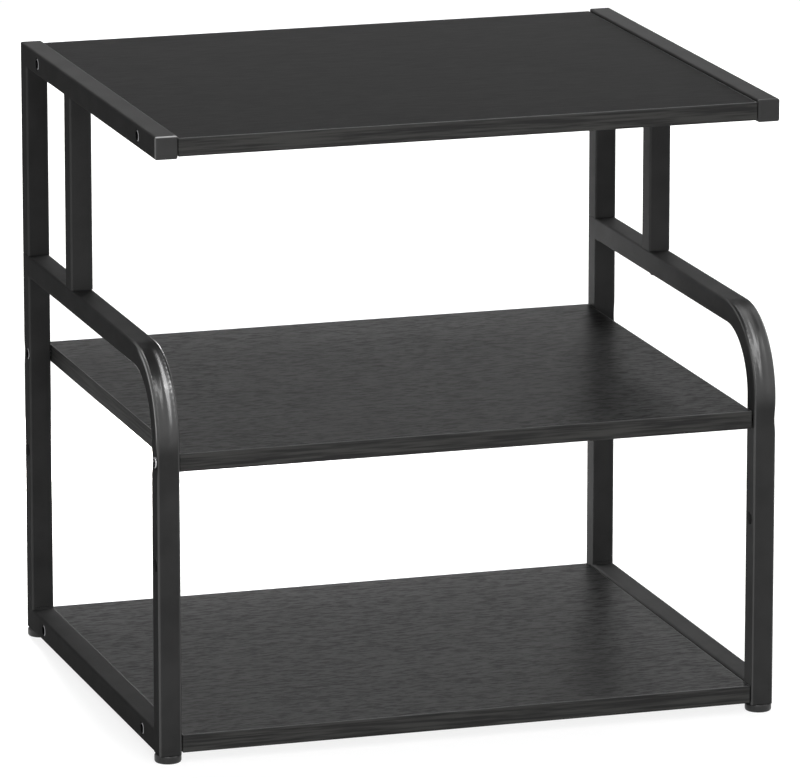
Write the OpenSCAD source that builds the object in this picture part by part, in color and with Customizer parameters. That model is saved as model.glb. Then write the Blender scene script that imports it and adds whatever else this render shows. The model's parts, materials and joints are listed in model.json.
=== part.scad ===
// Three-tier printer stand: two steel side frames in two parts each, three bolted boards, levelling feet.
// Millimetres. +X is to the right, +Y to the rear, +Z up. The origin is on the floor, under the centre.

/* [Frame] */
// Overall width over the outer faces of the side frames
frame_w = 560; // [420:1:800]
// Overall depth, from the front caps to the rear posts
frame_d = 450; // [380:1:600]
// Overall height, from the floor to the top of the top rails
frame_h = 550; // [480:1:800]
// Height of the lower frame, from the lower tube ends to the top of the middle rail
lower_frame_h = 350; // [320:1:420]
// Side of the square tube
tube = 20; // [18:0.5:25]
// Wall of the square tube
tube_wall = 1.2; // [1:0.1:1.5]
// Outer corner radius of the square tube
tube_corner_r = 1.8; // [1.6:0.1:2.5]
// Radius of the tube's centre line where the front leg bends into the middle rail
bend_r = 65; // [45:1:90]
// Clear distance between the rear post and the short post
short_post_gap = 130; // [60:1:220]

/* [Boards] */
// Thickness of each board
board_t = 16; // [15:0.5:18]
// Thickness of the edge bands round each board
band_t = 1; // [0.5:0.1:2]
// Gap between an end of the top panel and a top rail
panel_end_gap = 0.5; // [0.3:0.1:2]
// Gap between an end of a shelf and a side frame
shelf_end_gap = 0.9; // [0.3:0.1:2]
// How far the middle shelf's edges lie inside the front and rear faces of the side frames
middle_shelf_setback = 4; // [0:0.5:6]
// How far the bottom shelf's front edge lies behind the legs' front faces
bottom_shelf_setback = 1; // [0:0.5:8]

/* [Shelf bolts] */
// Straight stretch of leg between the middle shelf's bolts and the start of the bend
bend_to_bolt = 17; // [8:1:60]
// Drop from the middle shelf's bolts to the spare holes for a lower position
shelf_step = 90; // [40:1:120]
// How far the middle shelf's bolts lie inside the centre lines of leg and post
shelf_bolt_offset = 2; // [0:0.5:2]
// Distance from the front or rear face of the frame to a bolt in a top or bottom rail
rail_bolt_inset = 58; // [40:1:120]
// Thread diameter of the shelf bolts and joining bolts
bolt_d = 6; // [5:0.5:6]
// Length of a shelf bolt under its head
bolt_l = 30; // [26:1:34]
// Diameter of a shelf bolt's head
head_d = 10.2; // [9:0.1:10.4]
// Height of a shelf bolt's head
head_h = 3; // [1.8:0.1:3]
// Width across the flats of a bolt's hexagon socket
socket_w = 5; // [3:0.5:5]
// Diameter of the seat pressed into the tube's outer wall for a bolt's head
seat_d = 11; // [10.6:0.1:11.4]
// Depth of a head's seat below the tube's outer face
seat_depth = 3.2; // [3:0.1:4]
// Diameter of the bolt's hole in the tube's inner wall
inner_hole_d = 10.5; // [9:0.1:11]
// Outer diameter of a threaded insert in a board's end
insert_d = 9; // [8:0.1:10]
// Length of a threaded insert in a board's end
insert_l = 13; // [10:1:18]

/* [Frame joint] */
// Length of the sleeve inside the seam of a rear post
sleeve_l = 60; // [40:1:100]
// Wall of the sleeve
sleeve_wall = 1.5; // [1:0.1:3]
// Diameter of a joining bolt's head
joining_head_d = 10; // [9:0.5:12]
// Height of a joining bolt's head
joining_head_h = 4; // [4:0.5:8]
// Length of a joining bolt under its head
joining_bolt_l = 40; // [30:1:60]
// Length of the threaded plug in the lower end of a short post
joining_plug_l = 25; // [15:1:40]

/* [Caps and feet] */
// Thickness of a rail cap's face
cap_t = 2; // [1:0.1:4]
// Length of the part of a cap that goes into the rail
cap_plug_l = 14; // [8:1:25]
// Wall of the hollow plug of a cap
cap_plug_wall = 2; // [1.5:0.1:3]
// Height of a foot pad
pad_h = 7; // [5:0.5:12]
// Diameter of a foot pad
pad_d = 23.5; // [20:0.5:30]
// Rounding of a foot pad's lower edge
pad_edge_r = 1.6; // [0.8:0.1:2.5]
// Thread diameter of a foot's stud
stud_d = 8; // [6:0.5:10]
// Length of a foot's stud above its pad
stud_l = 24; // [18:1:30]
// How deep the stud goes into the pad
stud_root_l = 4; // [2:0.5:4]
// Length of the threaded plug in a tube's lower end
foot_plug_l = 20; // [14:1:30]

/* [Hidden] */
$fn = 64;

// Between a plug or sleeve and the tube round it, on each side
plug_clear = 0.1;
// Between a thread and its nut, on the radius
thread_clear = 0.05;
// Between a bolt and a plain hole, on the radius
hole_clear = 0.3;
// From a bolt's tip to the bottom of its hole in a board
tip_room = 3;
// How far a cutting solid runs past the face that it cuts
cut = 1;
// Chamfer on the tips of studs and bolts
tip_chamfer = 0.6;

steel_black = "#303132";
board_black = "#3d3e3e";
band_black = "#363837";
bolt_black = "#1e1e1f";
plastic_black = "#262627";
zinc = "#b9bcbf";

// Planes and centre lines of the side frames
x_out = frame_w / 2;
x_mid = x_out - tube / 2;
x_in = x_out - tube;
y_front = -frame_d / 2;
y_rear = frame_d / 2;
y_leg = y_front + tube / 2;
y_post = y_rear - tube / 2;
y_short = y_rear - tube - short_post_gap - tube / 2;
z_low = pad_h;
z_seam = z_low + lower_frame_h;
z_top = frame_h;
z_bottom_rail = z_low + tube / 2;
z_middle_rail = z_seam - tube / 2;
z_top_rail = z_top - tube / 2;

// Centre of the bend between leg and middle rail
y_bend = y_leg + bend_r;
z_bend = z_middle_rail - bend_r;

// Bolt places
rail_bolt_y = frame_d / 2 - rail_bolt_inset;
shelf_bolt_y = y_post - shelf_bolt_offset;
z_shelf_bolt = z_bend - bend_to_bolt;
z_spare_hole = z_shelf_bolt - shelf_step;

// Inside of the tube and what fits in it
tube_in = tube - 2 * tube_wall;
tube_in_r = tube_corner_r - tube_wall;
plug_w = tube_in - 2 * plug_clear;

// Board sizes
panel_w = frame_w - 2 * tube - 2 * panel_end_gap;
shelf_w = frame_w - 2 * tube - 2 * shelf_end_gap;
shelf_d = frame_d - 2 * middle_shelf_setback;
bottom_shelf_y = y_front + bottom_shelf_setback + shelf_d / 2;

SIDES = ["left", "right"];
BOARDS = ["top_panel", "middle_shelf", "bottom_shelf"];
FEET = ["front_left", "front_right", "rear_left", "rear_right"];

// Shared shapes

// The left side as drawn, or its mirror image on the right
module on_side(side) {
    if (side == "left") children();
    else mirror([1, 0, 0]) children();
}

module rounded_square(w, r) {
    square([w, w - 2 * r], center = true);
    square([w - 2 * r, w], center = true);
    for (x = [-1, 1], y = [-1, 1])
        translate([x * (w / 2 - r), y * (w / 2 - r)])
            circle(r = r);
}

module tube_section() {
    difference() {
        rounded_square(tube, tube_corner_r);
        rounded_square(tube_in, tube_in_r);
    }
}

// An upright tube with its centre line at x, y
module upright(x, y, z0, z1) {
    translate([x, y, z0]) linear_extrude(z1 - z0) tube_section();
}

// A tube along the depth with its centre line at x, z
module along_depth(x, z, y0, y1) {
    translate([x, y1, z]) rotate([90, 0, 0]) linear_extrude(y1 - y0) tube_section();
}

// A square bar that fits inside an upright tube
module inner_bar(x, y, z0, z1) {
    translate([x, y, z0]) linear_extrude(z1 - z0) rounded_square(plug_w, tube_in_r);
}

// A rod along +X with a chamfered far tip
module rod_x(d, l) {
    rotate([0, 90, 0])
        rotate_extrude()
            polygon([
                [0, 0], [d / 2, 0], [d / 2, l - tip_chamfer],
                [d / 2 - tip_chamfer, l], [0, l]
            ]);
}

// The pressed seat of a bolt head, inside the outer wall of a left-hand tube
module seat_wall(y, z) {
    translate([-x_out + tube_wall / 2, y, z])
        rotate([0, 90, 0])
            cylinder(d = seat_d + 2 * tube_wall, h = seat_depth + tube_wall / 2);
}

// What a bolt seat and its inner hole take out of a left-hand tube
module seat_hollow(y, z) {
    translate([-x_out - cut, y, z])
        rotate([0, 90, 0])
            cylinder(d = seat_d, h = seat_depth + cut);
    translate([-x_out, y, z])
        rotate([0, 90, 0])
            cylinder(d = bolt_d + 2 * hole_clear, h = tube / 2);
    translate([-x_in - tube_wall - cut, y, z])
        rotate([0, 90, 0])
            cylinder(d = inner_hole_d, h = tube_wall + 2 * cut);
}

// A tube with bolt seats at a list of [y, z] places
module with_seats(places) {
    difference() {
        union() {
            children();
            for (p = places) seat_wall(p[0], p[1]);
        }
        for (p = places) seat_hollow(p[0], p[1]);
    }
}

// Everything above the mitre between a rear post and a top rail
module above_mitre() {
    translate([-x_mid, y_rear, z_top])
        rotate([45, 0, 0])
            translate([-tube, -frame_d, 0])
                cube([2 * tube, 2 * frame_d, 2 * frame_d]);
}

// Lower frame, drawn on the left

module rear_lower_post() {
    color(steel_black)
        with_seats([[shelf_bolt_y, z_shelf_bolt], [shelf_bolt_y, z_spare_hole]])
            upright(-x_mid, y_post, z_low, z_seam);
}

module bottom_rail() {
    color(steel_black)
        with_seats([[-rail_bolt_y, z_bottom_rail], [rail_bolt_y, z_bottom_rail]])
            along_depth(-x_mid, z_bottom_rail, y_front + tube, y_rear - tube);
}

// The front leg, the bend at its top and the middle rail are one tube
module bent_leg() {
    color(steel_black)
        difference() {
            with_seats([[-shelf_bolt_y, z_shelf_bolt], [-shelf_bolt_y, z_spare_hole]]) {
                upright(-x_mid, y_leg, z_low, z_bend);
                translate([-x_mid, y_bend, z_bend])
                    rotate([0, -90, 180])
                        rotate_extrude(angle = 90)
                            translate([bend_r, 0]) tube_section();
                along_depth(-x_mid, z_middle_rail, y_bend, y_rear - tube);
            }
            translate([-x_mid, y_short, z_middle_rail - tube])
                cylinder(d = bolt_d + 2 * hole_clear, h = 2 * tube);
        }
}

// Upper frame, drawn on the left

module rear_upper_post() {
    color(steel_black)
        difference() {
            upright(-x_mid, y_post, z_seam, z_top);
            above_mitre();
        }
}

module short_post() {
    color(steel_black) upright(-x_mid, y_short, z_seam, z_top - tube);
}

module top_rail() {
    color(steel_black)
        intersection() {
            with_seats([[-rail_bolt_y, z_top_rail], [rail_bolt_y, z_top_rail]])
                along_depth(-x_mid, z_top_rail, y_front + cap_t, y_rear);
            above_mitre();
        }
}

module rail_cap() {
    color(plastic_black) {
        translate([-x_mid, y_front + cap_t, z_top_rail])
            rotate([90, 0, 0])
                linear_extrude(cap_t) rounded_square(tube, tube_corner_r);
        translate([-x_mid, y_front + cap_t + cap_plug_l, z_top_rail])
            rotate([90, 0, 0])
                linear_extrude(cap_plug_l)
                    difference() {
                        rounded_square(plug_w, tube_in_r);
                        square(plug_w - 2 * cap_plug_wall, center = true);
                    }
    }
}

// What joins the two frames of a side, drawn on the left

module post_sleeve() {
    color(steel_black)
        translate([-x_mid, y_post, z_seam - sleeve_l / 2])
            linear_extrude(sleeve_l)
                difference() {
                    rounded_square(plug_w, tube_in_r);
                    square(plug_w - 2 * sleeve_wall, center = true);
                }
}

module joining_bolt() {
    color(bolt_black)
        translate([-x_mid, y_short, z_seam - tube])
            rotate([0, -90, 0])
                difference() {
                    union() {
                        rod_x(bolt_d, joining_bolt_l);
                        rotate([0, -90, 0]) cylinder(d = joining_head_d, h = joining_head_h);
                    }
                    translate([-joining_head_h - cut, 0, 0])
                        rotate([0, 90, 0])
                            cylinder(d = socket_w / cos(30), h = joining_head_h / 2 + cut, $fn = 6);
                }
}

module joining_plug() {
    color(zinc)
        difference() {
            inner_bar(-x_mid, y_short, z_seam, z_seam + joining_plug_l);
            translate([-x_mid, y_short, z_seam - cut])
                cylinder(r = bolt_d / 2 + thread_clear, h = joining_plug_l + 2 * cut);
        }
}

// Boards, each with the places of its bolts as [y, z]

function board_bolt_y(b) = b == "middle_shelf" ? shelf_bolt_y : rail_bolt_y;
function board_z(b) = b == "top_panel" ? z_top_rail : b == "middle_shelf" ? z_shelf_bolt : z_bottom_rail;
function board_y(b) = b == "bottom_shelf" ? bottom_shelf_y : 0;
function board_w(b) = b == "top_panel" ? panel_w : shelf_w;
function board_d(b) = b == "top_panel" ? frame_d : shelf_d;

// Copies at the four bolts of a board: children start at the end face of the board and run into it
module at_bolts(b, x) {
    for (s = SIDES, y = [-1, 1])
        on_side(s) translate([-x, y * board_bolt_y(b), board_z(b)]) children();
}

module bolt_holes(b) {
    reach = board_w(b) / 2 - (x_out - seat_depth - bolt_l) + tip_room;
    at_bolts(b, board_w(b) / 2 + cut)
        rotate([0, 90, 0]) {
            cylinder(r = insert_d / 2 + thread_clear, h = insert_l + cut);
            cylinder(d = bolt_d + 2 * hole_clear, h = reach + cut);
        }
}

module board(b) {
    color(board_black)
        difference() {
            translate([0, board_y(b), board_z(b)])
                cube([board_w(b) - 2 * band_t, board_d(b) - 2 * band_t, board_t], center = true);
            bolt_holes(b);
        }
}

module edge_bands(b) {
    color(band_black)
        difference() {
            for (e = [-1, 1]) {
                translate([0, board_y(b) + e * (board_d(b) - band_t) / 2, board_z(b)])
                    cube([board_w(b), band_t, board_t], center = true);
                translate([e * (board_w(b) - band_t) / 2, board_y(b), board_z(b)])
                    cube([band_t, board_d(b) - 2 * band_t, board_t], center = true);
            }
            bolt_holes(b);
        }
}

module board_bolts(b) {
    color(bolt_black)
        at_bolts(b, x_out - seat_depth)
            difference() {
                union() {
                    rod_x(bolt_d, bolt_l);
                    rotate([0, -90, 0]) cylinder(d = head_d, h = head_h);
                }
                translate([-head_h - cut, 0, 0])
                    rotate([0, 90, 0])
                        cylinder(d = socket_w / cos(30), h = head_h * 0.7 + cut, $fn = 6);
            }
}

module board_inserts(b) {
    color(zinc)
        at_bolts(b, board_w(b) / 2)
            rotate([0, 90, 0])
                difference() {
                    cylinder(d = insert_d, h = insert_l);
                    translate([0, 0, -cut])
                        cylinder(r = bolt_d / 2 + thread_clear, h = insert_l + 2 * cut);
                }
}

// Feet

function foot_x(f) = (f == "front_left" || f == "rear_left") ? -x_mid : x_mid;
function foot_y(f) = (f == "front_left" || f == "front_right") ? y_leg : y_post;

module foot_plug(f) {
    color(plastic_black)
        difference() {
            inner_bar(foot_x(f), foot_y(f), z_low, z_low + foot_plug_l);
            translate([foot_x(f), foot_y(f), z_low - cut])
                cylinder(r = stud_d / 2 + thread_clear, h = foot_plug_l + 2 * cut);
        }
}

module foot_stud(f) {
    color(zinc)
        translate([foot_x(f), foot_y(f), pad_h - stud_root_l])
            rotate([0, -90, 0])
                rod_x(stud_d, stud_root_l + stud_l);
}

module foot_pad(f) {
    color(plastic_black)
        translate([foot_x(f), foot_y(f), 0])
            difference() {
                rotate_extrude()
                    polygon([
                        [0, 0],
                        for (a = [0:15:90])
                            [pad_d / 2 - pad_edge_r * (1 - sin(a)), pad_edge_r * (1 - cos(a))],
                        [pad_d / 2, pad_h],
                        [0, pad_h]
                    ]);
                translate([0, 0, pad_h - stud_root_l])
                    cylinder(r = stud_d / 2 + thread_clear, h = stud_root_l + cut);
            }
}

for (s = SIDES)
    on_side(s) {
        rear_lower_post();
        bottom_rail();
        bent_leg();
        rear_upper_post();
        short_post();
        top_rail();
        rail_cap();
        post_sleeve();
        joining_bolt();
        joining_plug();
    }
for (b = BOARDS) {
    board(b);
    edge_bands(b);
    board_bolts(b);
    board_inserts(b);
}
for (f = FEET) {
    foot_plug(f);
    foot_stud(f);
    foot_pad(f);
}
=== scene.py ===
"""A printer stand of black square tube and three wood-grain boards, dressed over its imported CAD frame."""
import json
import math

import bmesh
import bpy
import numpy as np
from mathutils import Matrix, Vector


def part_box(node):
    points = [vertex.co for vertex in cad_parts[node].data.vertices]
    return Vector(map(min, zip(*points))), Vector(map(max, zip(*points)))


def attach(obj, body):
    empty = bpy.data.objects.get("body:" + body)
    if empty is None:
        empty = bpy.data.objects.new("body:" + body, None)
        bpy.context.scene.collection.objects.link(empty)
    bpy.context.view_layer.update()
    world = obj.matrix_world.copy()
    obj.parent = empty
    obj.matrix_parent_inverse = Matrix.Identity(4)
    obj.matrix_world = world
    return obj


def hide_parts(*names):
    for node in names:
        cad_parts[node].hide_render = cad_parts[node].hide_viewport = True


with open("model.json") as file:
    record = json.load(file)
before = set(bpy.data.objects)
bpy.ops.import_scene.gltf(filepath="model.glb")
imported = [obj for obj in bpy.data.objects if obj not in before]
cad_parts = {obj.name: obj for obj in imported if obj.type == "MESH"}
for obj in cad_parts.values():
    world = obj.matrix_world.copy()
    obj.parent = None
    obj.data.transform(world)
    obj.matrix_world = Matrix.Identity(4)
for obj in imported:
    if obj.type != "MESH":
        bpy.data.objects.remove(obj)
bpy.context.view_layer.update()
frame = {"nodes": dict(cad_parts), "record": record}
scene = bpy.context.scene
MM = 0.001
BOARDS = ("top_panel", "middle_shelf", "bottom_shelf")
FEET = ("front_left", "front_right", "rear_left", "rear_right")

# ---------------------------------------------------------------- sizes, read from the frame


def span(node):
    """Lowest and highest corner of a CAD node as two arrays."""
    low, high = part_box(node)
    return np.array(low), np.array(high)


post_low, post_high = span("left_short_post")
rear_low, _ = span("left_rear_lower_post")
leg_low, leg_high = span("left_bent_leg")
rail_low, rail_high = span("left_bottom_rail")
top_low, top_high = span("left_top_rail")
cap_low, cap_high = span("left_rail_cap")
shelf_bolts_low, shelf_bolts_high = span("middle_shelf_bolts")
_, rail_bolts_high = span("bottom_shelf_bolts")
pad_low, pad_high = span("front_left_foot_pad")
stud_low, stud_high = span("front_left_foot_stud")

# The tube, and the centre lines of the left frame
TUBE = post_high[0] - post_low[0]
HALF = TUBE / 2
WALL = 1.2 * MM
CORNER = 1.8 * MM
BEND_R = 65 * MM
X_SIDE = post_low[0] + HALF
Y_LEG = leg_low[1] + HALF
Y_POST = rear_low[1] + HALF
Y_SHORT = post_low[1] + HALF
Y_BEND = Y_LEG + BEND_R
Z_LOW = leg_low[2]
Z_SEAM = leg_high[2]
Z_BOTTOM_RAIL = rail_low[2] + HALF
Z_TOP_RAIL = top_high[2] - HALF
Z_BEND = Z_SEAM - HALF - BEND_R
LEG_RUN = Z_BEND - Z_LOW
ARC_RUN = BEND_R * np.pi / 2

# The bolts that hold the boards
HEAD_D = shelf_bolts_high[2] - shelf_bolts_low[2]
HEAD_H = 3 * MM
SEAT_DEPTH = 3.2 * MM
BOLT_L = 30 * MM
SOCKET = 5 * MM         # across its flats
SHELF_STEP = 90 * MM    # from the middle shelf's holes down to the spare ones
Y_RAIL_BOLT = rail_bolts_high[1] - HEAD_D / 2
Z_SHELF_BOLT = (shelf_bolts_low[2] + shelf_bolts_high[2]) / 2
Z_SPARE = Z_SHELF_BOLT - SHELF_STEP

# ---------------------------------------------------------------- camera

# Fitted to straight edges in the photo. Its width and the focal length are in pixels
PHOTO_W = 800
FOCAL_PX = 7375.3
SENSOR = 36.0           # mm
CAMERA_AT = (-1.9065, -6.0904, 1.7918)
CAMERA_DOWN = 13.491    # degrees below the horizon
CAMERA_TURN = 17.44     # degrees from +Y towards +X
CAMERA_REACH = 40       # m


def put(name, data):
    """An object that holds data, linked into the scene."""
    placed = bpy.data.objects.new(name, data)
    scene.collection.objects.link(placed)
    return placed


camera_data = bpy.data.cameras.new("camera")
camera_data.sensor_width = SENSOR
camera_data.sensor_fit = "HORIZONTAL"
camera_data.lens = FOCAL_PX / PHOTO_W * SENSOR
camera_data.clip_end = CAMERA_REACH
camera = put("camera", camera_data)
camera.location = CAMERA_AT
camera.rotation_euler = (math.radians(90 - CAMERA_DOWN), 0, math.radians(-CAMERA_TURN))
scene.camera = camera

# ---------------------------------------------------------------- materials


def linear(code):
    """An sRGB hex colour as linear red, green, blue and an alpha of 1."""
    c = np.array([int(code[i:i + 2], 16) for i in (1, 3, 5)]) / 255
    c = np.where(c <= 0.04045, c / 12.92, ((c + 0.055) / 1.055) ** 2.4)
    return (*c.tolist(), 1.0)


def add(tree, kind, inputs=None, **settings):
    """Adds one node. settings are its properties; inputs are its sockets, each a value or an output to link."""
    node = tree.nodes.new(kind)
    for name, value in settings.items():
        setattr(node, name, value)
    for name, value in (inputs or {}).items():
        if isinstance(value, bpy.types.NodeSocket):
            tree.links.new(value, node.inputs[name])
        else:
            node.inputs[name].default_value = value
    return node


def new_material(name):
    """An empty material and its node tree."""
    material = bpy.data.materials.new(name)
    material.use_nodes = True
    material.node_tree.nodes.clear()
    return material, material.node_tree


def object_place(tree):
    """The point's place in the object's own coordinates."""
    return add(tree, "ShaderNodeTexCoord").outputs["Object"]


def gloss_and_painted_highlight_at(tree):
    """The mesh attribute of the coat's gloss and of painted highlights, 0 to 1, or 0 where a mesh has none."""
    return add(tree, "ShaderNodeAttribute", attribute_name="gloss_and_painted_highlight").outputs["Fac"]


def stretched(tree, place, x, y, z):
    """place with x, y and z as its units of length, so that a texture of size 1 is drawn out that far."""
    return add(tree, "ShaderNodeMapping", {"Vector": place, "Scale": (1 / x, 1 / y, 1 / z)}).outputs[0]


def noise(tree, place, size, detail, **more):
    """A noise of 0 to 1 with grains of about size. more are further sockets, such as Distortion."""
    return add(tree, "ShaderNodeTexNoise", {"Vector": place, "Scale": 1 / size, "Detail": detail, **more}).outputs[0]


def ramp(tree, factor, low, high):
    """factor stretched so that low becomes 0 and high becomes 1, with a smooth step between."""
    return add(tree, "ShaderNodeMapRange", {"Value": factor, "From Min": low, "From Max": high},
               interpolation_type="SMOOTHSTEP").outputs[0]


def between(tree, factor, low, high):
    """The number that goes from low to high as factor goes from 0 to 1."""
    return add(tree, "ShaderNodeMapRange", {"Value": factor, "To Min": low, "To Max": high}).outputs[0]


def blend_colour(tree, factor, first, second):
    """The colour that goes from first to second as factor goes from 0 to 1. Each is a hex code or an output."""
    first, second = (linear(colour) if isinstance(colour, str) else colour for colour in (first, second))
    return add(tree, "ShaderNodeMix", {0: factor, 6: first, 7: second}, data_type="RGBA").outputs[2]


def calculate(tree, operation, first, second):
    """One step of arithmetic on two numbers."""
    return add(tree, "ShaderNodeMath", {0: first, 1: second}, operation=operation).outputs[0]


def bump(tree, height, strength, distance):
    """The normal of a surface with a relief of height."""
    return add(tree, "ShaderNodeBump", {"Height": height, "Strength": strength, "Distance": distance}).outputs[0]


def surface(tree, **inputs):
    """A Principled surface joined to the material's output. Underscores stand for spaces in the socket names."""
    shader = add(tree, "ShaderNodeBsdfPrincipled",
                 {name.replace("_", " "): value for name, value in inputs.items()})
    add(tree, "ShaderNodeOutputMaterial", {"Surface": shader.outputs[0]})


def powder_coat():
    """Black polyester powder coat, sprayed and baked on steel: a matt skin with a fine orange peel and faint
    cloudy differences of shade. The attribute burnish says where the coat pools over a corner or was ironed
    smooth over a bend, and has a clear gloss. The peel is drawn at 1.3 mm, coarser than the real 0.5 mm."""
    material, tree = new_material("powder_coated_steel")
    place, gloss_and_painted_highlight = object_place(tree), gloss_and_painted_highlight_at(tree)
    cloud = noise(tree, place, 40 * MM, 3.0)
    peel = noise(tree, place, 1.3 * MM, 2.0)
    colour = blend_colour(tree, ramp(tree, cloud, 0.3, 0.7), "#272727", "#2d2d2d")
    matt = between(tree, cloud, 0.84, 0.92)
    surface(tree, Base_Color=colour, Roughness=between(tree, gloss_and_painted_highlight, matt, 0.34), Specular_IOR_Level=0.035,
            Normal=bump(tree, peel, 1.0, 0.06 * MM), Coat_Weight=gloss_and_painted_highlight, Coat_Roughness=0.21)
    return material


def wood_laminate(name, streak, light, dark, soft, gloss):
    """Particle board under a black melamine film with a pressed ash grain: short dark streaks along X, fine pores
    between them, and a clear resin top layer that mirrors what stands on it as a blur, less so in the streaks.
    streak is the length and width of a streak, soft is how gently light turns to dark, from 0 to 0.5, and gloss
    is the resin's share."""
    material, tree = new_material(name)
    place = object_place(tree)
    length, width = streak
    streaks = noise(tree, stretched(tree, place, length, width, width), 1.0, 3.0, Roughness=0.6, Distortion=0.2)
    streaks = ramp(tree, streaks, 0.47 - soft, 0.47 + soft)
    pores = ramp(tree, noise(tree, stretched(tree, place, 9 * MM, 0.8 * MM, 0.8 * MM), 1.0, 1.0), 0.28, 0.5)
    bands = noise(tree, stretched(tree, place, 260 * MM, 24 * MM, 24 * MM), 1.0, 3.0, Distortion=0.4)
    tone = blend_colour(tree, streaks, dark, light)
    tone = blend_colour(tree, pores, blend_colour(tree, 0.45, tone, dark), tone)
    colour = blend_colour(tree, ramp(tree, bands, 0.3, 0.7), blend_colour(tree, 0.2, tone, dark), tone)
    relief = bump(tree, calculate(tree, "ADD", streaks, pores), 0.5, 0.05 * MM)
    resin = between(tree, streaks, 0.74 * gloss, 1.1 * gloss)
    surface(tree, Base_Color=colour, Roughness=0.6, Specular_IOR_Level=0.0, Normal=relief,
            Coat_Weight=resin, Coat_Roughness=0.4, Coat_Normal=relief)
    return material


def edge_band():
    """ABS edge band, extruded with a fine grain along its length and glued on: nearly matt, and with a painted
    highlight, a paler colour, along its upper front edge, where its highlight attribute is above 0."""
    material, tree = new_material("edge_band")
    grain = noise(tree, stretched(tree, object_place(tree), 50 * MM, 50 * MM, 1.8 * MM), 1.0, 3.0)
    colour = blend_colour(tree, ramp(tree, grain, 0.35, 0.65), "#242424", "#343433")
    # Painted highlight: the upper front edge is drawn pale grey, standing in for a glint of light
    colour = blend_colour(tree, gloss_and_painted_highlight_at(tree), colour, "#4c4c4c")
    surface(tree, Base_Color=colour, Roughness=0.6, Specular_IOR_Level=0.04,
            Normal=bump(tree, grain, 0.3, 0.04 * MM))
    return material


def black_oxide():
    """Blackened and oiled steel of a rolled screw: nearly black, with a clean shine and greyer patches of wear, and
    with a painted highlight, a pale metal colour, where its highlight attribute is 1. Its oxide stays dark at a low
    angle too."""
    material, tree = new_material("black_oxide_steel")
    wear = noise(tree, object_place(tree), 1.5 * MM, 3.0)
    colour = blend_colour(tree, ramp(tree, wear, 0.55, 0.75), "#1c1c1d", "#4a4a4c")
    # Painted highlight: the screw head's rounded edge gets a pale metal colour, standing in for its glint
    colour = blend_colour(tree, gloss_and_painted_highlight_at(tree), colour, "#a6a6a8")
    surface(tree, Base_Color=colour, Metallic=1.0, Roughness=between(tree, wear, 0.2, 0.3),
            Specular_Tint=linear("#5a5a5a"))
    return material


def moulded_plastic():
    """Injection-moulded black polyethylene: matt, with a spark-eroded texture drawn at 0.8 mm, and with a painted
    highlight, pale grey, where its highlight attribute is 1."""
    material, tree = new_material("moulded_black_plastic")
    place = object_place(tree)
    grit = noise(tree, place, 0.8 * MM, 2.0)
    cloud = noise(tree, place, 9 * MM, 2.0)
    colour = blend_colour(tree, ramp(tree, cloud, 0.3, 0.7), "#141414", "#191919")
    # Painted highlight: pale grey where the attribute is 1, on the left cap's upper and outer edges
    colour = blend_colour(tree, gloss_and_painted_highlight_at(tree), colour, "#858585")
    surface(tree, Base_Color=colour, Roughness=0.42, Specular_IOR_Level=0.35,
            Normal=bump(tree, grit, 0.3, 0.03 * MM))
    return material


def bright_zinc():
    """Bright zinc plate on rolled steel: a pale metal with a faint cloudy haze."""
    material, tree = new_material("zinc_plated_steel")
    haze = noise(tree, object_place(tree), 3 * MM, 3.0)
    surface(tree, Base_Color=blend_colour(tree, haze, "#a9acb0", "#c8cbce"), Metallic=1.0, Roughness=0.32)
    return material


shelf_wood = wood_laminate("black_grain_laminate", (11 * MM, 2.0 * MM), light="#292929", dark="#161616",
                           soft=0.09, gloss=0.052)
panel_wood = wood_laminate("black_fine_grain_laminate", (24 * MM, 2.6 * MM), light="#222222", dark="#1c1c1c",
                           soft=0.3, gloss=0.022)
finishes = {
    "powder_coated_steel": powder_coat(), "laminated_board": shelf_wood, "edge_band": edge_band(),
    "black_steel": black_oxide(), "black_plastic": moulded_plastic(), "zinc_plated_steel": bright_zinc(),
}
for part in frame["record"]["subparts"]:
    data = frame["nodes"][part["node"]].data
    data.materials.clear()
    data.materials.append(panel_wood if part["node"] == "top_panel" else finishes[part["material_slot"]])

# ---------------------------------------------------------------- meshes

MERGE_WITHIN = 0.002 * MM


def make_piece(name, points, faces, slot, nodes, body="stand", crease=32, gloss_and_painted_highlight=None):
    """Puts points and faces into one mesh, merged, turned outwards and shaded smooth up to the crease angle in
    degrees. It has the finish of slot, rides on body and stands for the CAD nodes listed. The last argument is one
    number a point for the mesh attribute that marks the coat's gloss and the painted highlights."""
    mesh = bpy.data.meshes.new(name)
    mesh.from_pydata(points.tolist(), [], faces)
    # The attribute holds the coat's gloss, and the painted highlights on the bands, the cap and the screws
    if gloss_and_painted_highlight is not None:
        shine = mesh.attributes.new("gloss_and_painted_highlight", "FLOAT", "POINT")
        shine.data.foreach_set("value", np.asarray(gloss_and_painted_highlight, np.float32))
    work = bmesh.new()
    work.from_mesh(mesh)
    bmesh.ops.remove_doubles(work, verts=work.verts, dist=MERGE_WITHIN)
    bmesh.ops.recalc_face_normals(work, faces=work.faces)
    work.to_mesh(mesh)
    work.free()
    mesh.shade_smooth()
    mesh.set_sharp_from_angle(angle=math.radians(crease))
    mesh.materials.append(finishes[slot])
    piece = put(name, mesh)
    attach(piece, body)
    if nodes:
        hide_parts(*nodes)


def both_sides(points):
    """The left frame's points and their mirror image for the right frame, each with its side's name."""
    return ("left", points), ("right", points * np.array([-1.0, 1.0, 1.0]))


def smooth_step(x):
    """0 below 0, 1 above 1, and 3x^2 - 2x^3 between."""
    x = np.clip(x, 0, 1)
    return x * x * (3 - 2 * x)


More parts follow.
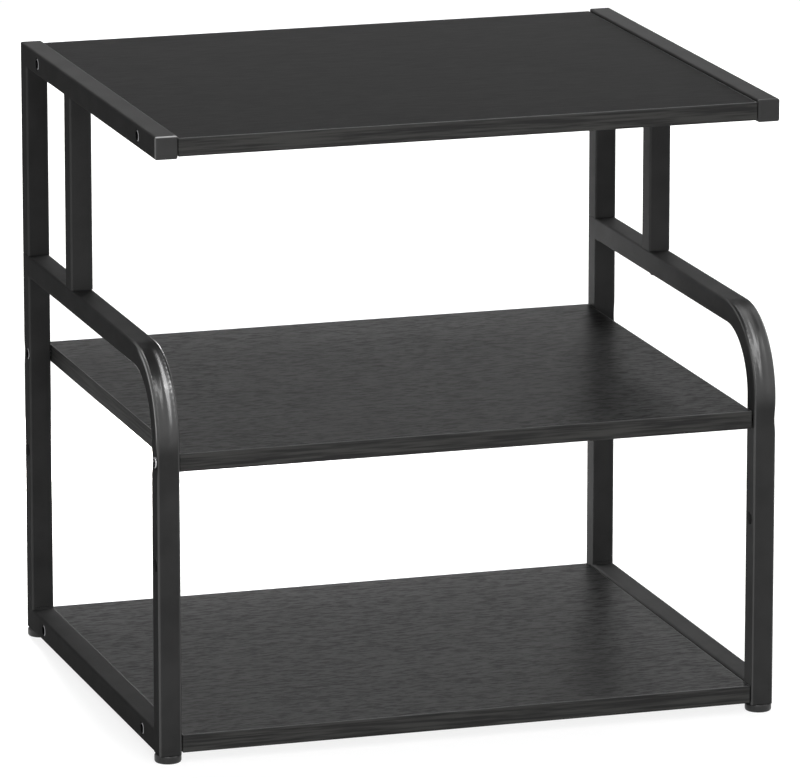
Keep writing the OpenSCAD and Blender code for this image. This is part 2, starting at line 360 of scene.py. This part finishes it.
def grid_faces(index):
    """Quads between neighbouring rows of an index grid whose last column joins its first."""
    index = np.column_stack([index, index[:, 0]])
    return np.stack([index[:-1, :-1], index[1:, :-1], index[1:, 1:], index[:-1, 1:]], axis=-1)


def skin_over(rings):
    """Points and faces of a skin over rings, an array by ring, point and axis, with a face over both ends."""
    index = np.arange(rings[..., 0].size).reshape(rings.shape[:2])
    faces = grid_faces(index).reshape(-1, 4).tolist() + [index[0].tolist(), index[-1][::-1].tolist()]
    return rings.reshape(-1, 3), faces


def corner_arcs(steps):
    """The quarter circles of a rounded rectangle, steps points each: the signs of each point's corner, and its
    place on the unit circle."""
    turn = np.linspace(0, np.pi / 2, steps)
    angle = np.concatenate([turn + k * np.pi / 2 for k in range(4)])
    sign = np.repeat(np.array([[1, 1], [-1, 1], [-1, -1], [1, -1]]), steps, axis=0)
    return sign, np.column_stack([np.cos(angle), np.sin(angle)])


# ---------------------------------------------------------------- the tubes

# Points along a flat and a corner of the tube's outline. Those of a flat crowd towards the corners as a sine does
PER_FLAT = 14
PER_CORNER = 5
PER_SIDE = PER_FLAT + PER_CORNER
FLAT_SPREAD = np.sin(np.linspace(-1, 1, PER_FLAT + 1) * np.pi / 2)
WINDOW = (HALF - CORNER) * FLAT_SPREAD

# An open end: its rounding, how far its inner edge lies behind it, and how far the inner wall is drawn
MOUTH = 0.35 * MM
MOUTH_EDGE = 0.1 * MM
INNER_RUN = 12 * MM

# A dent fades out at this many times its half length. Rows stand close together over it, and over the bend from
# a margin before it to one after it. Beside a seat's window there are none within a margin
DENT_FADE = 1.6
DENT_ROWS = 17
BEND_MARGIN = 6 * MM
BEND_ROWS = 116
SEAT_MARGIN = 0.2 * MM

# The pressed seat of a bolt and its way through the tube: a radius and a depth below the outer face, in mm
SEAT_LIP = [(6.5, 0.0), (6.1, 0.05), (5.85, 0.18), (5.68, 0.42), (5.57, 0.8), (5.52, 1.3), (5.5, 2.2),
            (5.5, 3.0), (5.35, 3.2), (3.4, 3.2), (3.3, 3.3), (3.3, 4.4), (5.1, 4.4), (5.25, 4.6),
            (5.25, 19.3), (5.32, 19.7), (5.6, 19.93), (6.1, 20.0)]

# The bend's outer wall: a dish along its middle between two ridges with fine wrinkles. Its inner wall is puckered
DISH_DEPTH = 1.35 * MM
DISH_WIDTH = 0.46       # share of the flat's half width
RIDGE_INSET = 2.1 * MM
RIDGE_WIDTH = 0.75 * MM
RIDGE_HEIGHT = 0.3 * MM
WRINKLE_HEIGHT = 0.12 * MM
WRINKLE_PITCH = 4.3 * MM
WRINKLE_DRIFT = 19 * MM
PUCKER_HEIGHT = 0.7 * MM
PUCKER_PITCH = 7 * MM


def section(half, radius):
    """The square tube's outline as offsets (across, out) from its centre line: four flats joined by quarter
    circles. The first flat faces outwards along -X."""
    flat = (half - radius) * FLAT_SPREAD
    turn = np.pi - np.linspace(0, np.pi / 2, PER_CORNER + 1)[1:-1]
    side = np.vstack([
        np.column_stack([np.full(PER_FLAT + 1, -half), flat]),
        np.column_stack([radius - half + radius * np.cos(turn), half - radius + radius * np.sin(turn)])])
    quarters = [side]
    for _ in range(3):
        last = quarters[-1]
        quarters.append(np.column_stack([last[:, 1], -last[:, 0]]))
    return np.vstack(quarters)


def straight(start, along, out):
    """A path of centre points start + s * along, in the (y, z) plane, whose outer side faces out."""
    start, along, out = (np.array(v, float) for v in (start, along, out))
    return lambda s: (start + s[..., None] * along, np.broadcast_to(out, s.shape + (2,)))


def leg_path(s):
    """Up the leg, round a quarter circle of radius BEND_R, then straight back along the middle rail."""
    turn = np.clip((s - LEG_RUN) / BEND_R, 0, np.pi / 2)
    out = np.stack([-np.cos(turn), np.sin(turn)], axis=-1)
    centre = np.array([Y_BEND, Z_BEND]) + BEND_R * out
    centre[..., 1] += np.minimum(s - LEG_RUN, 0)
    centre[..., 0] += np.maximum(s - LEG_RUN - ARC_RUN, 0)
    return centre, out


def row_places(length, seats, dents, bent):
    """Where along a tube its rows stand: at both ends, close together over dents and a bend, and over each seat
    as the window's own rows, with no other row near them."""
    stops = [0.0, length]
    for centre, reach, _ in dents:
        stops.extend(np.linspace(centre - DENT_FADE * reach, centre + DENT_FADE * reach, DENT_ROWS))
    if bent:
        stops.extend(np.linspace(LEG_RUN - BEND_MARGIN, LEG_RUN + ARC_RUN + BEND_MARGIN, BEND_ROWS))
    clear = [s for s in stops if all(abs(s - seat) > WINDOW[-1] + SEAT_MARGIN for seat in seats)]
    rows = sorted(set(np.round(clear, 6)) | {round(float(s), 6) for seat in seats for s in seat + WINDOW})
    return [s for s in rows if -1e-9 <= s <= length + 1e-9]


def skin_rows(places, length, start, end, miter):
    """The rows of a tube's skin, with those of its ends: each is a place along the path, a shrink of the section,
    a slant, and 1 where it has the inner wall's outline."""
    head = [(0.0, 0.0, 0.0, 0)] if start == "butt" else [
        (INNER_RUN, 0, 0, 1), (MOUTH_EDGE, 0, 0, 1), (0.0, MOUTH, 0, 0), (MOUTH, 0, 0, 0)]
    tail = [(length, 0.0, miter, 0)] if end == "butt" else [
        (length - MOUTH, 0, 0, 0), (length, MOUTH, 0, 0),
        (length - MOUTH_EDGE, 0, 0, 1), (length - INNER_RUN, 0, 0, 1)]
    return np.array(head + [(s, 0.0, 0.0, 0) for s in places[1:-1]] + tail)


def window_edge():
    """The grid points round a seat's window: their rows and columns in it, and the angle of each from its middle."""
    steps = np.arange(PER_FLAT)
    low, high = np.zeros_like(steps), np.full_like(steps, PER_FLAT)
    rows = np.concatenate([low, steps, high, PER_FLAT - steps])
    columns = np.concatenate([steps, high, PER_FLAT - steps, low])
    return rows, columns, np.arctan2(WINDOW[columns], WINDOW[rows])


def seat_rings(seat, angle):
    """The rings of SEAT_LIP through the tube at s = seat, with a point at each angle."""
    profile = np.array(SEAT_LIP) * MM
    radius, depth = profile[:, :1], profile[:, 1:]
    return np.stack([
        np.broadcast_to(depth - HALF, (len(profile), len(angle))),
        radius * np.sin(angle)[None],
        seat + radius * np.cos(angle)[None]], axis=-1)


def bend_relief(turn, across, out, along):
    """How far the bending tool moved each point outwards, and how glossy it ironed it. turn is the point's place
    on the bend, from 0 to 1: the relief comes in from just before its start and fades out over its last
    quarter. outer is 1 on the wall outside the bend, and within is 1 on the wall inside it."""
    grip = smooth_step((turn + 0.1) / 0.25) * smooth_step((1.05 - turn) / 0.3)
    flat = np.clip(across / (HALF - CORNER), -1, 1)
    wave = np.sin(along / WRINKLE_PITCH * 2 * np.pi + 2.0 * np.sin(along / WRINKLE_DRIFT) + 1.7 * flat)
    ridge = np.exp(-((np.abs(across) - (HALF - RIDGE_INSET)) / RIDGE_WIDTH) ** 2)
    dish = -DISH_DEPTH * np.exp(-(flat / DISH_WIDTH) ** 2) + (RIDGE_HEIGHT + WRINKLE_HEIGHT * wave) * ridge
    pucker = PUCKER_HEIGHT * np.cos(flat * np.pi / 2) ** 2
    pucker = pucker * (1 + 0.3 * np.sin(along / PUCKER_PITCH * 2 * np.pi))
    outer = smooth_step(out / HALF * 2 - 0.8)
    within = smooth_step(-out / HALF * 2 - 0.8)
    return grip * (outer * dish + within * pucker), grip * outer * (1 - smooth_step((turn - 0.72) / 0.22))


def tube_skin(path, length, seats=(), start="butt", end="butt", dents=(), bent=False, miter=0.0, shine=0.0):
    """The skin of a square tube: the section of section() carried along path(s) for s from 0 to length.
    Each place s in seats swaps a square window in the outer flat, and one in the inner flat, for rings that
    go through the tube. dents are triples of place, half length and depth where the outer wall is pushed in.
    bent adds the relief of a bend. start and end are butt for a plain closed end, or open for a rounded mouth
    that shows the wall. miter slants the last row. shine is how far the coat's gloss shows on the long corners."""
    rows = skin_rows(row_places(length, seats, dents, bent), length, start, end, miter)
    place, shrink, slant, inner = rows.T[..., None]
    shape = np.where(inner[..., None] == 1, section(HALF - WALL, CORNER - WALL), section(HALF, CORNER))
    shape = shape * (1 - shrink[..., None] / HALF)
    across, out = shape[..., 0], shape[..., 1]
    along = place + slant * out
    index = np.arange(across.size).reshape(across.shape)
    quads = grid_faces(index)
    keep = np.ones(quads.shape[:2], bool)

    # the windows of the seats: the outer flat starts at column 0, and the inner one at column opposite
    opposite = 2 * PER_SIDE
    edge_rows, edge_columns, angle = window_edge()
    grids = [np.stack([across, out, along], axis=-1).reshape(-1, 3)]
    bored = []
    count = across.size
    for seat in seats:
        # the window's first row, which is never one of a mouth's
        first = int(np.argmin((np.abs(place - (seat + WINDOW[0])) + 9 * (inner + shrink))[:, 0]))
        for column in (0, opposite):
            keep[first:first + PER_FLAT, column:column + PER_FLAT] = False
        rings = seat_rings(seat, angle)
        ring_index = count + np.arange(rings[..., 0].size).reshape(rings.shape[:2])
        through = np.vstack([index[first + edge_rows, edge_columns], ring_index,
                             index[first + edge_rows, opposite + PER_FLAT - edge_columns]])
        bored.append(grid_faces(through).reshape(-1, 4))
        grids.append(rings.reshape(-1, 3))
        count += ring_index.size
    across, out, along = np.vstack(grids).T

    for centre, reach, depth in dents:
        bell = np.cos(np.clip((along - centre) / (DENT_FADE * reach), -1, 1) * np.pi / 2) ** 2
        across = across + depth * bell * smooth_step(-across / HALF * 1.5 - 0.2)
    inside_corner = np.minimum(np.abs(across), np.abs(out)) - (HALF - CORNER)
    gloss_and_painted_highlight = shine * smooth_step(inside_corner / (0.4 * CORNER))
    if bent:
        turn = (along - LEG_RUN) / ARC_RUN
        shift, ironed = bend_relief(turn, across, out, along)
        gloss_and_painted_highlight = np.maximum(gloss_and_painted_highlight * (1 - smooth_step((turn - 0.8) / 0.3)), ironed)
        out = out + shift

    centre, away = path(along)
    points = np.column_stack([
        X_SIDE + across,
        centre[:, 0] + out * away[:, 0],
        centre[:, 1] + out * away[:, 1]])
    faces = np.vstack([quads[keep], *bored]).tolist() + [index[0].tolist(), index[-1][::-1].tolist()]
    return points, faces, gloss_and_painted_highlight


# Directions in the (y, z) plane
UP, BACK, FRONT = (0, 1), (1, 0), (-1, 0)

FILL = 1.7 * MM         # how far a welded end runs into the rounding of the tube that it meets
DENT_HALF = 9 * MM
POST_DENT, LEG_DENT = 0.5 * MM, 0.8 * MM
POST_SHINE, LEG_SHINE = 0.3, 0.8
BOLT_AT = Z_SHELF_BOLT - Z_LOW
SPARE_AT = Z_SPARE - Z_LOW

skins = {
    "rear_lower_post": tube_skin(
        straight((Y_POST, Z_LOW), UP, FRONT), Z_SEAM - Z_LOW, seats=(SPARE_AT, BOLT_AT), start="open", end="open",
        dents=((BOLT_AT, DENT_HALF, POST_DENT),), shine=POST_SHINE),
    "bottom_rail": tube_skin(
        straight((rail_low[1] - FILL, Z_BOTTOM_RAIL), BACK, UP), rail_high[1] - rail_low[1] + 2 * FILL,
        seats=(FILL - Y_RAIL_BOLT - rail_low[1], FILL + Y_RAIL_BOLT - rail_low[1])),
    "bent_leg": tube_skin(
        leg_path, LEG_RUN + ARC_RUN + leg_high[1] - Y_BEND + FILL, seats=(SPARE_AT, BOLT_AT), start="open",
        dents=((BOLT_AT, DENT_HALF, LEG_DENT),), bent=True, shine=LEG_SHINE),
    "rear_upper_post": tube_skin(
        straight((Y_POST, Z_SEAM), UP, FRONT), Z_TOP_RAIL - Z_SEAM, start="open", miter=-1.0, shine=POST_SHINE),
    "short_post": tube_skin(
        straight((Y_SHORT, Z_SEAM), UP, FRONT), post_high[2] - Z_SEAM + FILL, start="open", shine=POST_SHINE),
    "top_rail": tube_skin(
        straight((top_low[1], Z_TOP_RAIL), BACK, UP), Y_POST - top_low[1],
        seats=(-Y_RAIL_BOLT - top_low[1], Y_RAIL_BOLT - top_low[1]), miter=1.0),
}
for part, (left_points, faces, gloss_and_painted_highlight) in skins.items():
    for side, points in both_sides(left_points):
        make_piece(f"{side}_{part}_skin", points, faces, "powder_coated_steel", [f"{side}_{part}"], gloss_and_painted_highlight=gloss_and_painted_highlight)

# ---------------------------------------------------------------- rail caps and edge bands


def rounded_box(low, high, radius, profile, least=0.15 * MM):
    """A box with rounded long edges along y, of at least the radius least. Each pair in profile is a ring: how far
    it lies inside the box's outline, and its y."""
    half = (high - low)[[0, 2]] / 2
    middle = (low + high)[[0, 2]] / 2
    sign, circle = corner_arcs(7)
    rings = []
    for inset, y in profile:
        keep = max(radius - inset, least)
        at = middle + sign * (half - inset - keep) + keep * circle
        rings.append(np.column_stack([at[:, 0], np.full(len(at), y), at[:, 1]]))
    return skin_over(np.array(rings))


# The cap: a slightly crowned face with rounded edges, and the plug that holds it in the rail
cap_face = cap_low[1]
cap_back = top_low[1]
PLUG_INSET = 1.35 * MM
CAP_PROFILE = [
    (7 * MM, cap_face), (3 * MM, cap_face + 0.02 * MM), (1.1 * MM, cap_face + 0.08 * MM),
    (0.55 * MM, cap_face + 0.2 * MM), (0.2 * MM, cap_face + 0.5 * MM), (0.03 * MM, cap_face + 0.95 * MM),
    (0.0, cap_back - 0.35 * MM), (0.25 * MM, cap_back - 0.05 * MM), (PLUG_INSET, cap_back),
    (PLUG_INSET, cap_high[1])]
left_points, faces = rounded_box(cap_low, cap_high, CORNER, CAP_PROFILE)

# The left cap has a painted highlight: its upper edge is drawn pale, its outer edge less so
edge_depth = smooth_step((left_points[:, 1] - cap_face) / (0.15 * MM)) * (left_points[:, 1] < cap_back)
top_highlight = smooth_step((left_points[:, 2] - cap_high[2] + 1.2 * MM) / (0.8 * MM))
side_highlight = smooth_step((cap_low[0] - left_points[:, 0] + 1.2 * MM) / (0.8 * MM))
cap_highlight = {"left": edge_depth * np.maximum(top_highlight, 0.3 * side_highlight), "right": None}
for side, points in both_sides(left_points):
    make_piece(f"{side}_rail_cap_moulding", points, faces, "black_plastic", [f"{side}_rail_cap"],
               gloss_and_painted_highlight=cap_highlight[side])


def band_ring(node, thickness=1.0 * MM, round_over=0.7 * MM, corner=0.8 * MM, least=0.05 * MM):
    """The edge bands of a board as one ring: a strip's profile, rounded on its two outer edges, carried round
    the board's outline with slightly eased corners, of at least the radius least."""
    low, high = span(node)
    arc = np.linspace(0, np.pi / 2, 6)
    fall, rise = round_over * (1 - np.sin(arc)), round_over * (1 - np.cos(arc))
    top = high[2] - low[2]
    inset = np.concatenate([[thickness], fall, rise, [thickness]])
    height = np.concatenate([[0], rise, top - fall, [top]])
    sign, circle = corner_arcs(6)
    half = (high - low)[:2] / 2
    middle = (low + high)[:2] / 2
    keep = np.maximum(corner - inset, least)[:, None, None]
    at = middle + sign[None] * (half - inset[:, None, None] - keep) + keep * circle[None]
    level = np.broadcast_to(low[2] + height[:, None, None], at.shape[:2] + (1,))
    index = np.arange(at[..., 0].size).reshape(at.shape[:2])
    faces = grid_faces(np.vstack([index, index[:1]])).reshape(-1, 4).tolist()
    return np.concatenate([at, level], axis=-1).reshape(-1, 3), faces


# A painted highlight along the upper edge of each front band: a paler colour in place of a glint
PAINTED_EDGE_HIGHLIGHT = 0.8
for board in BOARDS:
    points, faces = band_ring(f"{board}_edge_bands")
    edge_highlight = smooth_step((points[:, 2] - points[:, 2].max() + 0.6 * MM) / (0.4 * MM))
    edge_highlight = PAINTED_EDGE_HIGHLIGHT * edge_highlight * (points[:, 1] < points[:, 1].min() + 1.5 * MM)
    make_piece(f"{board}_banding", points, faces, "edge_band", [f"{board}_edge_bands"], gloss_and_painted_highlight=edge_highlight)

# ---------------------------------------------------------------- feet

# The end of a thread: how far from it the taper starts, and how much smaller its radius gets
TIP_RUN = 1.2 * MM
TIP_CUT = 0.6 * MM


def lathe(profile, centre, steps=64):
    """Pairs of a radius and a height turned round a vertical axis at centre."""
    profile = np.array(profile)
    angle = np.linspace(0, 2 * np.pi, steps, endpoint=False)
    return skin_over(np.stack([
        centre[0] + profile[:, :1] * np.cos(angle)[None],
        centre[1] + profile[:, :1] * np.sin(angle)[None],
        np.broadcast_to(profile[:, 1:], (len(profile), steps))], axis=-1))


def thread_groove(height, angle, pitch):
    """How deep a thread's groove is at each height and angle, from 0 at the crest to 1: it falls and rises once a
    pitch along the axis, and climbs one pitch a turn."""
    phase = (height[:, None] / pitch - angle[None] / (2 * np.pi)) % 1
    return np.abs(2 * phase - 1)


def thread(centre, low, high, radius, pitch=1.25 * MM, depth=0.35 * MM, steps=24):
    """A threaded stud from height low to high, tapered at its upper end."""
    angle = np.linspace(0, 2 * np.pi, steps, endpoint=False)
    height = np.arange(low, high, pitch / 6)
    fade = smooth_step((high - height) / TIP_RUN)[:, None]
    r = radius - depth * thread_groove(height, angle, pitch) - TIP_CUT * (1 - fade)
    return skin_over(np.stack([centre[0] + r * np.cos(angle), centre[1] + r * np.sin(angle),
                               np.broadcast_to(height[:, None], r.shape)], axis=-1))


PAD_R = (pad_high[0] - pad_low[0]) / 2
PAD_H = pad_high[2]
STUD_R = (stud_high[0] - stud_low[0]) / 2
BORE_R = STUD_R + 0.05 * MM
PAD_PROFILE = [
    (PAD_R - 1.9 * MM, 0.0), (PAD_R - 1.0 * MM, 0.15 * MM), (PAD_R - 0.4 * MM, 0.65 * MM),
    (PAD_R - 0.08 * MM, 1.4 * MM), (PAD_R, 2.2 * MM), (PAD_R, PAD_H - 1.1 * MM),
    (PAD_R - 0.15 * MM, PAD_H - 0.6 * MM), (PAD_R - 0.6 * MM, PAD_H - 0.15 * MM), (PAD_R - 1.4 * MM, PAD_H),
    (BORE_R, PAD_H), (BORE_R, stud_low[2])]
for foot in FEET:
    low, high = span(f"{foot}_foot_pad")
    centre = (low + high) / 2
    make_piece(f"{foot}_pad_moulding", *lathe(PAD_PROFILE, centre), "black_plastic", [f"{foot}_foot_pad"],
               body=f"{foot}_pad")
    make_piece(f"{foot}_threaded_stud", *thread(centre, stud_low[2], stud_high[2], STUD_R), "zinc_plated_steel",
               [f"{foot}_foot_stud"], body=f"{foot}_stud", crease=60)

# ---------------------------------------------------------------- screws


def joined(parts):
    """Several pairs of points and faces as one pair."""
    points, faces, count = [], [], 0
    for part_points, part_faces in parts:
        points.append(part_points)
        faces += [[i + count for i in f] for f in part_faces]
        count += len(part_points)
    return np.vstack(points), faces


def screw_shape(head_r, head_h, rim, socket_deep, length, shank_r=3 * MM, pitch=1 * MM, depth=0.3 * MM, steps=48):
    """A hexagon-socket screw as rings round its axis, each at a height s above the underside of its head: the
    socket's rings are hexagons, the head's edge is a quarter circle of radius rim, and the shank is threaded.
    Gives points of s and two offsets, the faces, and a painted glint that is 1 on the head's rounded edge."""
    angle = np.linspace(0, 2 * np.pi, steps, endpoint=False)
    hexagon = SOCKET / 2 / np.cos(angle % (np.pi / 3) - np.pi / 6)
    arc = np.linspace(0, np.pi / 2, 7)
    rows = [(0.94 * hexagon, socket_deep - head_h), (hexagon, socket_deep - head_h - 0.12 * MM),
            (hexagon, 0.2 * MM - head_h), (hexagon + 0.16 * MM, 0.04 * MM - head_h), (hexagon + 0.3 * MM, -head_h)]
    rows += list(zip(head_r - rim + rim * np.sin(arc), rim - rim * np.cos(arc) - head_h))
    rows += [(head_r, -0.15 * MM), (head_r - 0.15 * MM, 0), (shank_r + 0.2 * MM, 0), (shank_r, 0.2 * MM)]
    height = np.arange(min(9 * MM, 0.3 * length), length, pitch / 4)
    tip = TIP_CUT * smooth_step((height - length + TIP_RUN) / TIP_RUN)[:, None]
    rows += list(zip(shank_r - depth * thread_groove(height, angle, pitch) - tip, height))
    rows.append((shank_r - 0.9 * MM, length))
    r = np.array([np.broadcast_to(row[0], angle.shape) for row in rows])
    s = np.array([row[1] for row in rows])[:, None] + 0 * r
    # The painted glint: 1 on the outer part of the head's rounded edge
    painted_rim_glint = 1.0 * (r > head_r - 0.8 * rim) * (s < rim - head_h + 0.01 * MM)
    return *skin_over(np.stack([s, r * np.cos(angle), r * np.sin(angle)], axis=-1)), painted_rim_glint.ravel()


screw_points, faces, painted_rim_glint = screw_shape(HEAD_D / 2, HEAD_H, 1.1 * MM, 0.7 * HEAD_H, BOLT_L)
along, over, aside = screw_points.T
for board in BOARDS:
    low, high = span(f"{board}_bolts")
    level = (low[2] + high[2]) / 2
    four = []
    for side in (-1, 1):
        for y in (low[1] + HEAD_D / 2, high[1] - HEAD_D / 2):
            x = side * (HALF - X_SIDE - SEAT_DEPTH - along)
            four.append((np.column_stack([x, y + aside, level + over]), faces))
    make_piece(f"{board}_screws", *joined(four), "black_steel", [f"{board}_bolts"], crease=40,
               gloss_and_painted_highlight=np.tile(painted_rim_glint, 4))

for side in ("left", "right"):
    low, high = span(f"{side}_joining_bolt")
    head_h = Z_SEAM - TUBE - low[2]
    screw_points, faces, painted_rim_glint = screw_shape(
        (high[0] - low[0]) / 2, head_h, 1.2 * MM, head_h / 2, high[2] - Z_SEAM + TUBE)
    along, over, aside = screw_points.T
    points = np.column_stack([(low[0] + high[0]) / 2 + over, (low[1] + high[1]) / 2 + aside, Z_SEAM - TUBE + along])
    # Its head's edge gets a fainter painted glint
    make_piece(f"{side}_joining_screw", points, faces, "black_steel", [f"{side}_joining_bolt"], crease=40,
               gloss_and_painted_highlight=0.3 * painted_rim_glint)

# ---------------------------------------------------------------- welds


def weld_bead(y, z, dy, dz, x0, x1, size=1.9 * MM, ripple=1.7 * MM):
    """A weld laid along x in the corner at (y, z) between faces that run off towards dy and dz: a quarter-round
    bead whose size swells and shrinks once a ripple, and tapers at both ends."""
    s = np.linspace(0, 1, 61)
    x = x0 + (x1 - x0) * s
    swell = 1 + 0.16 * np.abs(np.sin((x - x0) / ripple * np.pi)) + 0.08 * np.sin(x / (4.7 * MM) * 2 * np.pi)
    swell = size * swell * (0.35 + 0.65 * np.minimum(1, np.minimum(s, 1 - s) / 0.06))
    turn = np.linspace(-0.25, np.pi / 2 + 0.25, 9)
    shape = np.vstack([np.column_stack([np.cos(turn), np.sin(turn)]), [[-0.4, -0.4]]])
    at_y = y + dy * swell[:, None] * shape[None, :, 0]
    at_z = z + dz * swell[:, None] * shape[None, :, 1]
    return skin_over(np.stack([np.broadcast_to(x[:, None], at_y.shape), at_y, at_z], axis=-1))


BEAD_X = (post_low[0] + CORNER * 0.8, post_high[0] - CORNER * 0.8)
left_points, faces = joined([
    weld_bead(rail_low[1], rail_high[2], 1, 1, *BEAD_X),
    weld_bead(rail_high[1], rail_high[2], -1, 1, *BEAD_X),
    weld_bead(rail_high[1], Z_SEAM - TUBE, -1, -1, *BEAD_X),
    weld_bead(post_low[1], top_low[2], -1, -1, *BEAD_X),
    weld_bead(post_high[1], top_low[2], 1, -1, *BEAD_X)])
for side, points in both_sides(left_points):
    make_piece(f"{side}_welds", points, faces, "powder_coated_steel", [], crease=50)

# ---------------------------------------------------------------- floor, world and lights

FLOOR_REACH = 30.0
FLOOR_GLOW = 0.82       # a strength of 1 is white
ROOM_LIGHT = 0.26


def seen_rays(tree):
    """1 for the rays that show the studio's white: the camera's, and those in mirror-like or clear surfaces."""
    rays = add(tree, "ShaderNodeLightPath").outputs
    either = calculate(tree, "MAXIMUM", rays["Is Camera Ray"], rays["Is Glossy Ray"])
    return calculate(tree, "MAXIMUM", either, rays["Is Transmission Ray"])


def floor_paper():
    """White paper sweep: it shows nearly white and still takes the stand's soft shadow, while the light that it
    throws back is that of a plain pale grey. From below, the camera looks through it."""
    material, tree = new_material("white_floor")
    paper = add(tree, "ShaderNodeBsdfDiffuse", {"Color": linear("#959595")}).outputs[0]
    glow = add(tree, "ShaderNodeEmission", {"Color": linear("#ffffff"), "Strength": FLOOR_GLOW}).outputs[0]
    both = add(tree, "ShaderNodeAddShader", {0: paper, 1: glow}).outputs[0]
    shown = add(tree, "ShaderNodeMixShader", {0: seen_rays(tree), 1: paper, 2: both}).outputs[0]
    below = calculate(tree, "MULTIPLY", add(tree, "ShaderNodeNewGeometry").outputs["Backfacing"],
                      add(tree, "ShaderNodeLightPath").outputs["Is Camera Ray"])
    clear = add(tree, "ShaderNodeBsdfTransparent").outputs[0]
    mixed = add(tree, "ShaderNodeMixShader", {0: below, 1: shown, 2: clear}).outputs[0]
    add(tree, "ShaderNodeOutputMaterial", {"Surface": mixed})
    return material


corners = np.array([[-1, -1, 0], [1, -1, 0], [1, 1, 0], [-1, 1, 0]]) * FLOOR_REACH
floor_mesh = bpy.data.meshes.new("floor")
floor_mesh.from_pydata(corners.tolist(), [], [[0, 1, 2, 3]])
floor_mesh.materials.append(floor_paper())
floor = put("floor", floor_mesh)
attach(floor, "front_left_stud")   # the floor sinks with this foot, so that screwed-out feet still stand on it

world = bpy.data.worlds.new("studio")
scene.world = world
world.use_nodes = True
studio = world.node_tree
studio.nodes.clear()
room, white = (add(studio, "ShaderNodeBackground", {"Color": linear("#ffffff"), "Strength": strength}).outputs[0]
               for strength in (ROOM_LIGHT, 1.0))
sky = add(studio, "ShaderNodeMixShader", {0: seen_rays(studio), 1: room, 2: white}).outputs[0]
add(studio, "ShaderNodeOutputWorld", {"Surface": sky})


def softbox(name, place, width, height, power, lights=True, shows=True, aim=(0, 0, 0.3)):
    """A rectangular area light of power watts at place that faces aim. With lights off it only shows in what
    mirrors it, as a far white card does. With shows off nothing mirrors it, as behind a large diffuser."""
    data = bpy.data.lights.new(name, "AREA")
    data.shape = "RECTANGLE"
    data.size = width
    data.size_y = height
    data.energy = power
    light = put(name, data)
    light.location = place
    toward = np.array(aim, float) - np.array(place, float)
    light.rotation_euler = (math.atan2(math.hypot(toward[0], toward[1]), -toward[2]), 0,
                            math.atan2(toward[1], toward[0]) - math.pi / 2)
    light.visible_camera = False
    light.visible_diffuse = lights
    light.visible_glossy = shows


# Lamps in front, above, behind and beside the stand. inner_back is there for the right frame's inner faces
softbox("key", (0.0, -3.7, 3.3), 2.0, 2.0, 42, shows=False)
softbox("overhead", (-0.1, 0.0, 3.2), 0.3, 2.0, 32, shows=False, aim=(-0.1, 0.01, 0.3))
softbox("top_back", (1.1, 1.0, 3.1), 1.0, 1.0, 80, shows=False)
softbox("back", (0.9, 3.0, 0.9), 1.6, 0.8, 52)
softbox("left", (-2.7, 0.1, 0.7), 0.3, 1.6, 3, shows=False)
softbox("inner_back", (-0.21, 1.0, 0.15), 0.1, 0.2, 37, shows=False, aim=(0.27, 0.0, 0.3))
softbox("low_front", (-0.45, -2.8, 0.5), 1.6, 0.8, 68, shows=False)

# Cards, which give the glossy surfaces their highlights
softbox("left_card", (-1.33, -3.65, 3.45), 0.5, 5.0, 115, lights=False)
softbox("top_card", (-0.8, 0.3, 3.4), 0.5, 4.5, 100, lights=False, aim=(-0.8, 0.31, 0.3))
softbox("right_card", (3.1, -2.3, 3.3), 0.4, 5.0, 55, lights=False)
softbox("side_card", (3.0, -0.2, 3.0), 3.0, 0.6, 40, lights=False)
softbox("end_card", (-3.4, -0.5, 1.7), 1.0, 1.6, 10, lights=False)

scene.view_settings.view_transform = "Standard"
